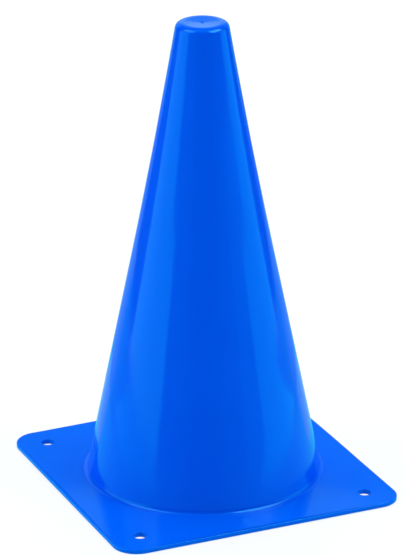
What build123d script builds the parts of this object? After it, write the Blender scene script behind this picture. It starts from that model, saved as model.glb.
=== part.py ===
"""A hollow sports marker cone on a square foot plate.

Millimetres, +Z up. The origin is the centre of the underside, where the cone stands on the ground.
"""
import os
from math import atan2, cos, radians, sin, tan

from build123d import *

# Outside of the cone
overall_height = 230.0
foot_diameter = 114.4  # where the flank would meet the top of the plate with no skirt
waist_height = 113.0  # the flank is straight up to this height and slightly hollow above it
waist_diameter = 68.8
top_diameter = 24.8  # where the flank would meet the flat top with no rounding
shoulder_radius = 3.1
wall = 1.6

# Mark that the moulding gate leaves in the middle of the top
gate_mark_diameter = 1.6
gate_mark_depth = 0.4

# Foot of the cone: the flank turns out into a short skirt, which sweeps down to a narrow ledge level with
# the plate, and below the ledge a flange reaches out for the plate to lie on
skirt_slope = 35.0  # degrees from level
skirt_land = 0.3  # straight part of the skirt between its two roundings
foot_turn_radius = 1.5  # from the flank into the skirt
foot_sweep_radius = 8.0  # from the skirt down to the ledge
foot_ledge = 0.3
flange_width = 3.0
flange_thickness = 1.0
mouth_radius = 3.0  # rounds the mouth of the hollow, where the next cone of a stack comes in

# Square plate
plate_thickness = 2.0
plate_border = 7.73  # from the stepped opening to the middle of a side
plate_corner_radius = 12.0
plate_edge_radius = 0.8
peg_hole_diameter = 6.4
peg_hole_inset = 14.75  # from each of the two nearest sides to the middle of the hole
peg_hole_rim_radius = 0.6

# Room all round between the foot of the cone and the plate that is slipped over it and welded
weld_clearance = 0.1

# The straight flank leans in by this angle from the plate up to the waist
flank_lean = atan2((foot_diameter - waist_diameter) / 2, waist_height - plate_thickness)

# The skin is drawn on past the ground and then cut level with it
overrun = 2 * wall
overrun_radius = waist_diameter / 2 + (waist_height + overrun) * tan(flank_lean)

# The skirt is as long as its two roundings and its land need, and the ledge starts where the sweep runs out
skirt_angle = radians(skirt_slope)
turn_reach = foot_turn_radius * tan((radians(90) - flank_lean - skirt_angle) / 2)
sweep_reach = foot_sweep_radius * tan(skirt_angle / 2)
skirt_length = turn_reach + skirt_land + sweep_reach
skirt_height = plate_thickness + skirt_length * sin(skirt_angle)
skirt_top_radius = foot_diameter / 2 - (skirt_height - plate_thickness) * tan(flank_lean)
skirt_foot_radius = skirt_top_radius + skirt_length * cos(skirt_angle)
ledge_radius = skirt_foot_radius + sweep_reach + foot_ledge
flange_radius = ledge_radius + flange_width

# The foot grows out of the middle of the wall, which leans
foot_root = wall / 2
ground_radius = foot_diameter / 2 + plate_thickness * tan(flank_lean)

# The plate's opening clears the ledge, and the step under it clears the flange
opening_radius = ledge_radius + weld_clearance
step_radius = flange_radius + weld_clearance
plate_side = 2 * (step_radius + plate_border)
peg_hole_spacing = plate_side - 2 * peg_hole_inset

os.makedirs("parts", exist_ok=True)


# Cone: one thin skin, closed at the top, open below, with its foot turned out into a flange
with BuildPart() as cone_shell:
    with BuildSketch(Plane.XZ):
        with BuildLine() as skin:
            flank = Line((overrun_radius, -overrun), (waist_diameter / 2, waist_height))
            hollow_flank = TangentArc(flank @ 1, (top_diameter / 2, overall_height), tangent=flank % 1)
            Line(hollow_flank @ 1, (0, overall_height))
            shoulder = skin.vertices().group_by(Axis.Y)[-1].sort_by(Axis.X)[-1]
            fillet(shoulder, shoulder_radius)
            offset(amount=wall, side=Side.LEFT)
        make_face()
    revolve(axis=Axis.Z)
    split(bisect_by=Plane.XY, keep=Keep.TOP)

    # Foot ring, with the skirt and the ledge on top and the flange below
    with BuildSketch(Plane.XZ):
        with BuildLine():
            Polyline(
                (ground_radius - foot_root, 0),
                (flange_radius, 0),
                (flange_radius, flange_thickness),
                (ledge_radius, flange_thickness),
                (ledge_radius, plate_thickness),
                (skirt_foot_radius, plate_thickness),
                (skirt_top_radius, skirt_height),
                (skirt_top_radius - foot_root, skirt_height),
                close=True,
            )
        make_face()
    revolve(axis=Axis.Z)
    skirt_top = cone_shell.edges().filter_by_position(Axis.Z, skirt_height, skirt_height)
    fillet(skirt_top.sort_by(SortBy.RADIUS)[-1], foot_turn_radius)
    level_with_plate = cone_shell.edges().filter_by_position(Axis.Z, plate_thickness, plate_thickness)
    fillet(level_with_plate.sort_by(SortBy.RADIUS)[0], foot_sweep_radius)
    on_ground = cone_shell.edges().filter_by_position(Axis.Z, 0, 0)
    fillet(on_ground.sort_by(SortBy.RADIUS)[0], mouth_radius)

    with BuildSketch(Plane.XY.offset(overall_height)):
        Circle(gate_mark_diameter / 2)
    extrude(amount=-gate_mark_depth, mode=Mode.SUBTRACT)

cone_shell.part.label = "cone_shell"
export_step(cone_shell.part, "parts/cone_shell.step")


# Plate: a rounded square with a peg hole near each corner and a stepped opening that laps the flange
with BuildPart() as base_plate:
    with BuildSketch():
        RectangleRounded(plate_side, plate_side, plate_corner_radius)
        Circle(opening_radius, mode=Mode.SUBTRACT)
        with GridLocations(peg_hole_spacing, peg_hole_spacing, 2, 2):
            Circle(peg_hole_diameter / 2, mode=Mode.SUBTRACT)
    extrude(amount=plate_thickness)
    with BuildSketch():
        Circle(step_radius)
    extrude(amount=flange_thickness, mode=Mode.SUBTRACT)

    upper_face = base_plate.faces().sort_by(Axis.Z)[-1]
    peg_hole_rims = upper_face.inner_wires().sort_by(SortBy.LENGTH)[:-1].edges()
    fillet(upper_face.outer_wire().edges(), plate_edge_radius)
    fillet(peg_hole_rims, peg_hole_rim_radius)

base_plate.part.label = "base_plate"
export_step(base_plate.part, "parts/base_plate.step")
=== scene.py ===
import math

import bpy
from mathutils import Matrix, Vector


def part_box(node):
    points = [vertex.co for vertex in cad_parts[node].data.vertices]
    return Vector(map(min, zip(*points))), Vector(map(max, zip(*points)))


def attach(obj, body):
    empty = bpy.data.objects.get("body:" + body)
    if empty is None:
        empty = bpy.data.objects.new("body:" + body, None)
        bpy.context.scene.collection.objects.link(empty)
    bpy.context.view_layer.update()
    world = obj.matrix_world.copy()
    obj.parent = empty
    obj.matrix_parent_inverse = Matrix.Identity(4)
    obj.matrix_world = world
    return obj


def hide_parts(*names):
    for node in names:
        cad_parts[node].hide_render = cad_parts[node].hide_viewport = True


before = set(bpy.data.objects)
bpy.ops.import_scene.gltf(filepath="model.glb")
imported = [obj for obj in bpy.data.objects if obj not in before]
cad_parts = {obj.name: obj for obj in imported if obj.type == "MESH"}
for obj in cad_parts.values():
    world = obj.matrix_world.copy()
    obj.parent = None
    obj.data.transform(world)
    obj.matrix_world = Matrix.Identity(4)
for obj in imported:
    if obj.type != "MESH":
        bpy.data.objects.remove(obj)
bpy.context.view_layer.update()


# Cone: one thin skin of flexible polyethylene, injection moulded through a gate in the middle of its top.
# It is hollow and open below so that cones stack. Its foot is rounded into a narrow ledge level with the
# plate, and below the ledge a thin flange reaches out under the plate and is welded to it.
mm = 0.001
cone_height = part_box("cone_shell")[1].z
flange_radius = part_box("cone_shell")[1].x
plate_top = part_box("base_plate")[1].z
foot_radius = 57.2 * mm  # where the flank would meet the plate if the plate were flat
waist_radius = 34.4 * mm
waist_height = 113.0 * mm  # the flank is straight below this height and slightly hollow above it
top_radius = 12.4 * mm  # where the flank would meet the top with no rounding
shoulder_round = 3.1 * mm
wall = 1.6 * mm
foot_round = 2.4 * mm  # rounding from the flank into the plate
foot_ledge = 0.3 * mm
plate_swell = 1.15 * mm  # the plate swells up by this much from its corners to the foot of the cone
swell_reach = 98.6 * mm
flange_thickness = 1.0 * mm
mouth_round = 3.0 * mm
flange_edge_round = 0.15 * mm
crown_slope = math.radians(7)  # where the rounding of the shoulder runs out into the crown of the top
crown_drop = 0.075 * mm
top_dish = 0.42 * mm  # the top sinks towards its gate as it cools
gate_dimple_radius = 0.7 * mm
gate_dimple_depth = 0.1 * mm
gate_dimple_slope = 0.3 * mm
gate_stub_radius = 0.4 * mm
gate_stub_height = 0.06 * mm
gate_stub_slope = 0.1 * mm
hold = 0.25 * mm  # a ring this close to each rounding keeps the shading of the plain faces true
inside_pole_ring = 2 * mm
weld_distance = 0.002 * mm
crease = math.radians(32)  # edges sharper than this stay sharp in the shading
steps_round_cone = 192


def rounding(centre, radius, start, end, steps):
    """Points along a rounding in the half section, from one direction to the other, in radians from +X."""
    points = []
    for step in range(steps + 1):
        angle = start + (end - start) * step / steps
        points.append((centre[0] + radius * math.cos(angle), centre[1] + radius * math.sin(angle)))
    return points


def straight(start, end, steps):
    """Points inside a straight run of the half section, without its two ends."""
    return [
        (start[0] + (end[0] - start[0]) * step / steps, start[1] + (end[1] - start[1]) * step / steps)
        for step in range(1, steps)
    ]


def beside(point, towards, distance):
    """The point on the way from one point of the half section towards another, this far along."""
    length = math.hypot(towards[0] - point[0], towards[1] - point[1])
    share = distance / length
    return (point[0] + (towards[0] - point[0]) * share, point[1] + (towards[1] - point[1]) * share)


# The straight flank leans in by this angle, and the hollow part above is an arc that starts along it
lean = math.atan2(foot_radius - waist_radius, waist_height - plate_top)
chord = (top_radius - waist_radius, cone_height - waist_height)
outward = (math.cos(lean), math.sin(lean))
hollow_radius = (chord[0] ** 2 + chord[1] ** 2) / (2 * (chord[0] * outward[0] + chord[1] * outward[1]))
hollow_centre = (waist_radius + hollow_radius * outward[0], waist_height + hollow_radius * outward[1])

# The shoulder rounding touches the hollow flank, and runs out into a slight crown round the edge of the top
shoulder_height = cone_height - crown_drop - shoulder_round
shoulder_reach = hollow_radius + shoulder_round
shoulder_drop = shoulder_height - hollow_centre[1]
shoulder_radius = hollow_centre[0] - math.sqrt(shoulder_reach**2 - shoulder_drop**2)
shoulder_centre = (shoulder_radius, shoulder_height)
shoulder_turn = math.atan2(-shoulder_drop, hollow_centre[0] - shoulder_radius)

# The flank meets the swollen middle of the plate in a small rounding, which runs out into a narrow ledge
foot_level = plate_top + plate_swell
foot_rise = plate_swell + foot_round * (1 - math.sin(lean))
foot_centre = (
    foot_radius - foot_rise * math.tan(lean) + foot_round * math.cos(lean),
    foot_level + foot_round,
)
ledge_radius = foot_centre[0] + foot_ledge


def swell(radius):
    """How far the plate has swollen up at this distance from the axis."""
    share = (swell_reach - radius) / (swell_reach - ledge_radius)
    return plate_swell * min(max(share, 0), 1) ** 1.5


mouth_offset = wall / math.cos(lean)
mouth_centre = (
    foot_radius + plate_top * math.tan(lean) - mouth_offset - mouth_round * math.tan(lean)
    + mouth_round / math.cos(lean),
    mouth_round,
)

# Half section of the skin: down the inside from the axis, round the foot, and up the outside to the axis
inside_top = rounding(shoulder_centre, shoulder_round - wall, math.pi / 2, shoulder_turn, steps=8)
waist_turn = math.pi + lean
shoulder_meets = math.pi + shoulder_turn
inside_hollow = rounding(hollow_centre, hollow_radius + wall, shoulder_meets, waist_turn, steps=20)
inside_mouth = rounding(mouth_centre, mouth_round, waist_turn, 1.5 * math.pi, steps=10)
foot = rounding(foot_centre, foot_round, 1.5 * math.pi, waist_turn, steps=14)
outside_hollow = rounding(hollow_centre, hollow_radius, waist_turn, shoulder_meets, steps=26)
outside_top = rounding(shoulder_centre, shoulder_round, shoulder_turn, math.pi / 2 - crown_slope, steps=14)
flange_corner = (flange_radius - flange_edge_round, flange_edge_round)

half_section = [(0, cone_height - wall), (inside_pole_ring, cone_height - wall)]
half_section += [beside(inside_top[0], (0, cone_height - wall), hold)]
half_section += inside_top
half_section += [beside(inside_top[-1], inside_hollow[1], hold)]
half_section += inside_hollow[1:]
half_section += straight(inside_hollow[-1], inside_mouth[0], 14)
half_section += [beside(inside_mouth[0], inside_hollow[-1], hold)]
half_section += inside_mouth
half_section += [beside(inside_mouth[-1], (flange_radius, 0), hold)]
half_section += [(flange_radius - 3 * flange_edge_round, 0)]
half_section += rounding(flange_corner, flange_edge_round, -math.pi / 2, 0, 3)
half_section += [(flange_radius, flange_thickness)]
half_section += [(ledge_radius, flange_thickness)]
half_section += [(ledge_radius, foot_level)]
half_section += foot
half_section += [beside(foot[-1], outside_hollow[0], hold)]
half_section += straight(foot[-1], outside_hollow[0], 18)
half_section += outside_hollow[:-1]
half_section += [beside(outside_top[0], outside_hollow[-2], hold)]
half_section += outside_top
crown_edge = outside_top[-1]
crown_rise = cone_height - crown_edge[1]
crown_width = 2 * crown_rise / math.tan(crown_slope)
crown_steps = 6
for step in range(1, crown_steps + 1):
    left_over = 1 - step / crown_steps
    crown_radius = crown_edge[0] - crown_width * (1 - left_over)
    half_section += [(crown_radius, cone_height - crown_rise * left_over**2)]
crest_radius = crown_edge[0] - crown_width
dish_rings = 6
first_ring = 0.1  # the first ring lies this share of a step inside the crest
for step in range(dish_rings):
    share = (step + first_ring) / dish_rings
    radius = crest_radius + (gate_dimple_radius - crest_radius) * share
    half_section += [(radius, cone_height - top_dish * share)]
gate_top = cone_height - top_dish
half_section += [(gate_dimple_radius, gate_top)]
gate_bottom = gate_top - gate_dimple_depth
half_section += [(gate_dimple_radius - gate_dimple_slope, gate_bottom)]
half_section += [(gate_stub_radius, gate_bottom)]
half_section += [(gate_stub_radius - gate_stub_slope, gate_bottom + gate_stub_height)]
half_section += [(0, gate_bottom + gate_stub_height)]

bpy.ops.object.select_all(action="DESELECT")
bpy.ops.mesh.primitive_plane_add(size=mm, location=(0, 0, 0))
cone = bpy.context.object
cone.name = cone.data.name = "cone_moulding"
bpy.ops.object.mode_set(mode="EDIT")
bpy.ops.mesh.select_all(action="SELECT")
bpy.ops.mesh.merge(type="CENTER")
bpy.ops.transform.translate(value=(half_section[0][0], 0, half_section[0][1]))
for here, there in zip(half_section, half_section[1:]):
    step = (there[0] - here[0], 0, there[1] - here[1])
    bpy.ops.mesh.extrude_vertices_move(TRANSFORM_OT_translate={"value": step})
bpy.ops.mesh.select_all(action="SELECT")
bpy.ops.mesh.spin(steps=steps_round_cone, angle=2 * math.pi, center=(0, 0, 0), axis=(0, 0, 1))
bpy.ops.mesh.select_all(action="SELECT")
bpy.ops.mesh.remove_doubles(threshold=weld_distance)
bpy.ops.mesh.normals_make_consistent(inside=False)
bpy.ops.object.mode_set(mode="OBJECT")
bpy.ops.object.shade_smooth_by_angle(angle=crease)


def linear(colour):
    """A hex sRGB colour as linear red, green, blue and alpha."""
    shares = [int(colour[place : place + 2], 16) / 255 for place in (1, 3, 5)]
    return [s / 12.92 if s <= 0.04045 else ((s + 0.055) / 1.055) ** 2.4 for s in shares] + [1.0]


def add_node(tree, kind, inputs, **settings):
    """Adds a node with its settings. Each input takes a plain value, or a socket that it is linked to."""
    added = tree.nodes.new(kind)
    for name, value in settings.items():
        setattr(added, name, value)
    for name, value in inputs.items():
        if isinstance(value, bpy.types.NodeSocket):
            tree.links.new(value, added.inputs[name])
        else:
            added.inputs[name].default_value = value
    return added


# Polyethylene, injection moulded in a polished mould and coloured through with blue pigment: an even, deep
# blue with clear gloss, faint clouds of pigment along the flow, and a fine grain from the mould's polish.
pigment_cloud = 34 * mm
polish_patch = 9 * mm
mould_grain = 0.7 * mm  # coarser than the real grain, which would be too fine to show
grain_depth = 0.05 * mm
grain_strength = 0.03
gloss_tint = "#5cf0ff"


def moulded_blue(name, deep, pale, glossy, dull):
    """Coloured polyethylene, clouded between two blues and polished to between two roughnesses."""
    plastic = bpy.data.materials.new(name)
    plastic.use_nodes = True
    tree = plastic.node_tree
    tree.nodes.clear()
    place = add_node(tree, "ShaderNodeTexCoord", {}).outputs["Object"]
    clouds = add_node(
        tree,
        "ShaderNodeTexNoise",
        {"Vector": place, "Scale": 1 / pigment_cloud, "Detail": 2.0, "Roughness": 0.45},
    )
    colour = add_node(
        tree,
        "ShaderNodeMix",
        {0: clouds.outputs["Fac"], 6: linear(deep), 7: linear(pale)},
        data_type="RGBA",
    )
    polish = add_node(
        tree,
        "ShaderNodeTexNoise",
        {"Vector": place, "Scale": 1 / polish_patch, "Detail": 3.0, "Roughness": 0.5},
    )
    gloss = add_node(
        tree,
        "ShaderNodeMapRange",
        {
            "Value": polish.outputs["Fac"],
            "From Min": 0.3,
            "From Max": 0.7,
            "To Min": glossy,
            "To Max": dull,
        },
    )
    grain = add_node(
        tree,
        "ShaderNodeTexNoise",
        {"Vector": place, "Scale": 1 / mould_grain, "Detail": 2.0, "Roughness": 0.5},
    )
    bump = add_node(
        tree,
        "ShaderNodeBump",
        {"Height": grain.outputs["Fac"], "Strength": grain_strength, "Distance": grain_depth},
    )
    surface = add_node(
        tree,
        "ShaderNodeBsdfPrincipled",
        {
            "Base Color": colour.outputs[2],
            "Roughness": gloss.outputs["Result"],
            "IOR": 1.5,
            "Specular Tint": linear(gloss_tint),
            "Normal": bump.outputs["Normal"],
        },
    )
    add_node(tree, "ShaderNodeOutputMaterial", {"Surface": surface.outputs["BSDF"]})
    return plastic


cone_blue = moulded_blue("polyethylene_moulded_blue", "#0053ec", "#0057f4", glossy=0.09, dull=0.12)
cone.data.materials.append(cone_blue)

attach(cone, "root")
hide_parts("cone_shell")


# Plate: a square of the same polyethylene with rounded corners, welded flush round the foot of the cone.
# A peg hole near each corner lets it be pinned to grass, and its edges are softly rounded by the mould.
plate_side = 2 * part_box("base_plate")[1].x
plate_corner = 12.0 * mm
plate_edge_round = 0.45 * mm
peg_hole_radius = 3.2 * mm
peg_hole_inset = 14.75 * mm
peg_hole_rim = 0.35 * mm
seam = 0.02 * mm
plate_edge_band = plate_edge_round + hold
peg_hole_band = peg_hole_rim + hold
lap_band = 1.0 * mm
lip_loops = 5
field_cuts = 6  # the plain field is cut this finely so that it can carry the swelling
steps_round_hole = 40
peg_place = plate_side / 2 - peg_hole_inset

bpy.ops.object.select_all(action="DESELECT")
bpy.ops.mesh.primitive_plane_add(size=plate_side, location=(0, 0, 0))
plate = bpy.context.object
plate.name = plate.data.name = "plate_moulding"
bpy.ops.object.mode_set(mode="EDIT")
bpy.ops.mesh.select_all(action="SELECT")
bpy.ops.mesh.bevel(offset=plate_corner, segments=16, affect="VERTICES")
bpy.ops.mesh.select_mode(type="FACE")
bpy.ops.mesh.select_all(action="SELECT")
bpy.ops.mesh.inset(thickness=plate_edge_band)
bpy.ops.mesh.delete(type="ONLY_FACE")


def ring(centre, inner_radius, band, steps):
    """A flat ring of faces in the plate's mesh, in edit mode."""
    outer_radius = inner_radius + band
    bpy.ops.mesh.primitive_circle_add(vertices=steps, radius=outer_radius, location=centre, fill_type="NGON")
    bpy.ops.mesh.inset(thickness=band)
    bpy.ops.mesh.delete(type="ONLY_FACE")


def select(piece, kind, wanted):
    """Selects the edges or faces of a piece in edit mode whose corners all lie where they are wanted."""
    bpy.ops.mesh.select_mode(type={"edges": "EDGE", "polygons": "FACE"}[kind])
    bpy.ops.mesh.select_all(action="DESELECT")
    bpy.ops.object.mode_set(mode="OBJECT")
    points = piece.data.vertices
    for part in getattr(piece.data, kind):
        part.select = all(wanted(points[corner].co) for corner in part.vertices)
    bpy.ops.object.mode_set(mode="EDIT")


near = 0.01 * mm


def from_edge(co):
    """How far a point of the plate lies inside its outline."""
    reach = [max(abs(along) - plate_side / 2 + plate_corner, 0) for along in (co.x, co.y)]
    return plate_corner - math.hypot(*reach)


def from_peg(co):
    """How far a point of the plate lies from the middle of the nearest peg hole."""
    return math.hypot(abs(co.x) - peg_place, abs(co.y) - peg_place)


def from_axis(co):
    return math.hypot(co.x, co.y)


def round_the_field(co):
    """Whether a point lies on the edge of the plain field between the rings and the rim."""
    in_rings = from_peg(co) < peg_hole_radius + near or from_axis(co) < lap_radius + near
    return from_edge(co) > near and not in_rings


lap_radius = flange_radius + seam
ring((0, 0, 0), lap_radius, lap_band, steps_round_cone)
for side in (-1, 1):
    for end in (-1, 1):
        ring((side * peg_place, end * peg_place, 0), peg_hole_radius, peg_hole_band, steps_round_hole)
select(plate, "edges", round_the_field)
bpy.ops.mesh.fill(use_beauty=True)
bpy.ops.mesh.subdivide(number_cuts=field_cuts)
bpy.ops.mesh.select_all(action="SELECT")
for lift in (flange_thickness, plate_top - flange_thickness):
    bpy.ops.mesh.extrude_region_move(TRANSFORM_OT_translate={"value": (0, 0, lift)})

# The lip over the flange closes on the foot of the cone
select(plate, "polygons", lambda co: co.z > flange_thickness - near and from_axis(co) < lap_radius + near)
lip_radius = ledge_radius + seam
for loop in range(lip_loops):
    reached = lap_radius + (lip_radius - lap_radius) * loop / lip_loops
    share = (lap_radius + (lip_radius - lap_radius) * (loop + 1) / lip_loops) / reached
    bpy.ops.mesh.extrude_region_move()
    bpy.ops.transform.resize(value=(share, share, 1), center_override=(0, 0, 0))

select(plate, "edges", lambda co: co.z > plate_top - near and from_edge(co) < near)
bpy.ops.mesh.bevel(offset=plate_edge_round, segments=6, affect="EDGES")
select(plate, "edges", lambda co: co.z > plate_top - near and from_peg(co) < peg_hole_radius + near)
bpy.ops.mesh.bevel(offset=peg_hole_rim, segments=5, affect="EDGES")
bpy.ops.mesh.select_all(action="SELECT")
bpy.ops.mesh.normals_make_consistent(inside=False)
bpy.ops.object.mode_set(mode="OBJECT")
for point in plate.data.vertices:
    if point.co.z > flange_thickness + near:
        point.co.z += swell(from_axis(point.co))
bpy.ops.object.shade_smooth_by_angle(angle=crease)
# The plate's blue is painted paler and greener than the cone's: painted light for its upward face, which
# takes more of the light from above.
plate_blue_painted_lit = moulded_blue("polyethylene_plate_blue", "#005dea", "#0061f2", glossy=0.07, dull=0.1)
plate.data.materials.append(plate_blue_painted_lit)

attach(plate, "root")
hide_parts("base_plate")


# Floor: white studio paper that runs out to a low wall all round and fills the view from any side. It takes
# the cone's soft shadow, and is lifted towards white where it is seen, not where it lights the cone.
floor_reach = 9.0
floor_lift_to_white = 0.72  # less than all the way, so that the shadow stays
cove_reach = 6.0  # from here out to the wall, a second sheet that is all white hides the wall's own shadow
cove_gap = 0.05 * mm
wall_height = 0.7
steps_round_floor = 96


def studio_paper(name, lift_to_white):
    """Matt white paper that is lifted towards white by this share where it is seen."""
    paper = bpy.data.materials.new(name)
    paper.use_nodes = True
    tree = paper.node_tree
    tree.nodes.clear()
    ray = add_node(tree, "ShaderNodeLightPath", {})
    seen = add_node(
        tree,
        "ShaderNodeMath",
        {0: ray.outputs["Is Camera Ray"], 1: ray.outputs["Is Glossy Ray"]},
        operation="MAXIMUM",
    )
    seen = add_node(
        tree,
        "ShaderNodeMath",
        {0: seen.outputs["Value"], 1: ray.outputs["Is Transmission Ray"]},
        operation="MAXIMUM",
    )
    lift = add_node(
        tree,
        "ShaderNodeMath",
        {0: seen.outputs["Value"], 1: lift_to_white},
        operation="MULTIPLY",
    )
    matt = add_node(tree, "ShaderNodeBsdfDiffuse", {"Color": linear("#f4f4f4")})
    white = add_node(tree, "ShaderNodeEmission", {"Strength": 1.0})
    sheet = add_node(
        tree,
        "ShaderNodeMixShader",
        {0: lift.outputs["Value"], 1: matt.outputs["BSDF"], 2: white.outputs["Emission"]},
    )
    add_node(tree, "ShaderNodeOutputMaterial", {"Surface": sheet.outputs["Shader"]})
    return paper


bpy.ops.object.select_all(action="DESELECT")
bpy.ops.mesh.primitive_circle_add(
    vertices=steps_round_floor, radius=floor_reach, location=(0, 0, 0), fill_type="NGON"
)
floor = bpy.context.object
floor.name = floor.data.name = "studio_floor"
floor.data.materials.append(studio_paper("paper_floor_white", floor_lift_to_white))

bpy.ops.object.select_all(action="DESELECT")
bpy.ops.mesh.primitive_circle_add(vertices=steps_round_floor, radius=cove_reach, location=(0, 0, 0))
backdrop = bpy.context.object
backdrop.name = backdrop.data.name = "studio_backdrop"
bpy.ops.object.mode_set(mode="EDIT")
bpy.ops.mesh.select_mode(type="EDGE")
bpy.ops.mesh.select_all(action="SELECT")
bpy.ops.transform.translate(value=(0, 0, cove_gap))
bpy.ops.mesh.extrude_edges_move()
spread = floor_reach / cove_reach
bpy.ops.transform.resize(value=(spread, spread, 1), center_override=(0, 0, 0))
bpy.ops.mesh.extrude_edges_move(TRANSFORM_OT_translate={"value": (0, 0, wall_height)})
bpy.ops.object.mode_set(mode="OBJECT")
backdrop.data.materials.append(studio_paper("paper_backdrop_white", 1.0))


# Light: a large soft fill from above and behind, a low fill at each side, and a softbox high at each side.
# Cards that only show in reflections stand round the cone and lie on the table about it. They draw the long
# soft highlights down its flanks and the pale line along its outline.
camera_azimuth = math.radians(-23.728)
towards_camera = Vector((math.sin(camera_azimuth), -math.cos(camera_azimuth), 0))
to_the_right = Vector((math.cos(camera_azimuth), math.sin(camera_azimuth), 0))


def direction(azimuth, elevation):
    """Unit vector from the cone, azimuth in degrees from the camera towards the right of the picture."""
    a, e = math.radians(azimuth), math.radians(elevation)
    level = towards_camera * math.cos(a) + to_the_right * math.sin(a)
    return level * math.cos(e) + Vector((0, 0, math.sin(e)))


def sun(name, azimuth, elevation, strength, width):
    """A wide, soft lamp that lights the cone and the floor but shows in no reflection."""
    lamp = bpy.data.lights.new(name, "SUN")
    lamp.energy = strength
    lamp.angle = math.radians(width)
    lit = bpy.data.objects.new(name, lamp)
    lit.rotation_mode = "QUATERNION"
    lit.rotation_quaternion = direction(azimuth, elevation).to_track_quat("Z", "Y")
    lit.visible_glossy = False
    bpy.context.scene.collection.objects.link(lit)


sun("fill_above", 180, 50, 2.4, 75)
sun("fill_left", -80, 16, 1.65, 50)
sun("fill_right", 80, 16, 0.78, 50)
sun("fill_high_left", -94, 59, 0.35, 28)
sun("fill_high_right", 80, 61, 1.05, 28)

world = bpy.data.worlds.new("studio")
world.use_nodes = True
world.node_tree.nodes["Background"].inputs["Color"].default_value = linear("#30f0ff")
world.node_tree.nodes["Background"].inputs["Strength"].default_value = 0.165
bpy.context.scene.world = world


def only_in_gloss(thing, colour, strength):
    """Gives a card its glow and hides it from all but reflections."""
    face = bpy.data.materials.new(thing.name)
    face.use_nodes = True
    face.node_tree.nodes.clear()
    glow = add_node(face.node_tree, "ShaderNodeEmission", {"Color": linear(colour), "Strength": strength})
    add_node(face.node_tree, "ShaderNodeOutputMaterial", {"Surface": glow.outputs["Emission"]})
    thing.data.materials.append(face)
    thing.visible_camera = False
    thing.visible_diffuse = False
    thing.visible_shadow = False
    thing.visible_transmission = False


def plane(name, width, height, place, facing, colour, strength):
    """A card of this size at a place, turned to face back along a direction from the cone."""
    bpy.ops.object.select_all(action="DESELECT")
    bpy.ops.mesh.primitive_plane_add(size=1, location=place)
    made = bpy.context.object
    made.name = made.data.name = name
    made.scale = (width, height, 1)
    made.rotation_mode = "QUATERNION"
    made.rotation_quaternion = facing.to_track_quat("Z", "Y")
    only_in_gloss(made, colour, strength)


def card(name, start, end, low, high, distance, colour, strength):
    """An upright card from one azimuth to another and from one height to another."""
    facing = direction((start + end) / 2, 0)
    width = 2 * distance * math.tan(math.radians(end - start) / 2)
    place = facing * distance + Vector((0, 0, (low + high) / 2))
    plane(name, width, high - low, place, facing, colour, strength)


softbox_distance = 1.2


def softbox(name, azimuth, elevation, width, height, strength):
    """A tall softbox that leans over the cone."""
    facing = direction(azimuth, elevation)
    plane(name, width, height, facing * softbox_distance, facing, "#ccf4ff", strength)


softbox("softbox_left", -80, 58, 0.7, 0.55, 4.6)
softbox("softbox_right", 78, 58, 0.85, 0.6, 7.5)
card("front_flag", -20, 20, 0, 0.5, 0.5, "#30ffff", 0.05)
card("left_dim", -56, -20, 0, 0.5, 0.5, "#59ffff", 0.2)
card("left_box_low", -56, -47, 0, 0.13, 0.495, "#76ffff", 1.75)
card("left_box", -104, -56, 0, 0.5, 0.5, "#76ffff", 1.75)
card("left_flag", -136, -104, 0, 0.5, 0.5, "#59ffff", 0.03)
card("left_rim", -165, -136, 0, 0.075, 0.5, "#6aa4ff", 1.0)
card("left_rim_high", -165, -136, 0.075, 0.5, 0.5, "#90ffff", 0.6)
card("right_dim_high", 20, 80, 0.17, 0.5, 0.5, "#30ffff", 0.1)
card("right_dim_front", 20, 44, 0, 0.17, 0.5, "#30ffff", 0.2)
card("right_dim", 44, 66, 0, 0.17, 0.5, "#30ffff", 0.52)
card("right_box_low", 66, 80, 0, 0.105, 0.495, "#38ffff", 1.6)
card("right_box_edge", 66, 80, 0.105, 0.17, 0.5, "#38ffff", 0.7)
card("right_box", 80, 113, 0, 0.5, 0.5, "#38ffff", 1.5)
card("right_flag", 113, 136, 0, 0.5, 0.5, "#59ffff", 0.03)
card("right_rim", 136, 165, 0, 0.075, 0.5, "#448aff", 1.0)
card("right_rim_high", 136, 165, 0.075, 0.5, 0.5, "#70ffff", 0.5)
card("behind", 150, 210, 0, 0.29, 0.55, "#70ffff", 0.27)
card("behind_far", 160, 200, 0.65, 1.27, 3.0, "#c4ffff", 1.0)
card("behind_top", 160, 200, 1.27, 1.8, 3.0, "#95ffff", 0.55)


def disc(name, radius, height, colour, strength):
    """A round card that lies level over the middle of the floor."""
    bpy.ops.object.select_all(action="DESELECT")
    bpy.ops.mesh.primitive_circle_add(vertices=64, radius=radius, location=(0, 0, height), fill_type="NGON")
    made = bpy.context.object
    made.name = made.data.name = name
    only_in_gloss(made, colour, strength)


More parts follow.
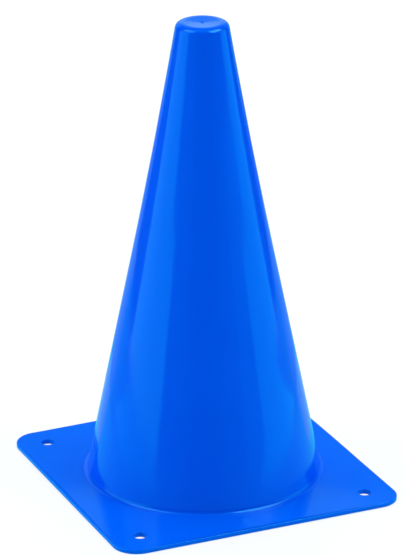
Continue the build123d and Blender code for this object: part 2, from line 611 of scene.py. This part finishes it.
layer = 0.1 * mm  # the cards on the table lie this far above one another
disc("table_outer", 0.5, layer, "#50ffff", 0.58)
disc("table_inner", 0.2, 2 * layer, "#50ffff", 0.9)
disc("overhead", 0.5, 1.3, "#30ffff", 1.0)


def strip(name, azimuth, near_end, far_end, width, colour, strength):
    """A strip of bright table to one side of the cone."""
    bpy.ops.object.select_all(action="DESELECT")
    middle = direction(azimuth, 0) * (near_end + far_end) / 2
    bpy.ops.mesh.primitive_plane_add(size=1, location=middle + Vector((0, 0, 3 * layer)))
    made = bpy.context.object
    made.name = made.data.name = name
    made.scale = (width, far_end - near_end, 1)
    made.rotation_euler = (0, 0, math.radians(azimuth) + camera_azimuth)
    only_in_gloss(made, colour, strength)


strip("left_strip", -72, 0.2, 0.5, 0.3, "#48ffff", 1.15)
strip("right_strip", 82, 0.2, 0.5, 0.26, "#30ffff", 1.55)
strip("left_back_near", -134, 0.1, 0.21, 0.08, "#98e5ff", 1.0)
strip("left_back_far", -149, 0.21, 0.5, 0.24, "#78bfff", 1.0)
strip("right_back_near", 134, 0.1, 0.21, 0.08, "#98e5ff", 1.0)
strip("right_back_far", 149, 0.21, 0.5, 0.24, "#6cbcff", 1.0)
strip("back_strip", 180, 0.1, 0.54, 0.16, "#78bfff", 1.0)


# Camera: the photograph's viewing angle, through a long lens.
camera_elevation = math.radians(21.679)
camera_distance = 1.83185
camera_target = Vector((0, 0, 0.1035))
camera_roll = math.radians(-0.210)
aim_right = -0.77 * mm
aim_up = -1.626 * mm
lens_length = 248.43

back = direction(0, math.degrees(camera_elevation))
eye = camera_target + back * camera_distance
aim = camera_target + to_the_right * aim_right + back.cross(to_the_right) * aim_up
lens = bpy.data.cameras.new("camera")
lens.lens = lens_length
lens.sensor_width = 36
lens.clip_start = 0.05
lens.clip_end = 50
camera = bpy.data.objects.new("camera", lens)
camera.rotation_mode = "QUATERNION"
camera.location = eye
roll = Matrix.Rotation(camera_roll, 4, "Z").to_quaternion()
camera.rotation_quaternion = (aim - eye).to_track_quat("-Z", "Y") @ roll
bpy.context.scene.collection.objects.link(camera)
bpy.context.scene.camera = camera
bpy.context.scene.view_settings.view_transform = "Standard"
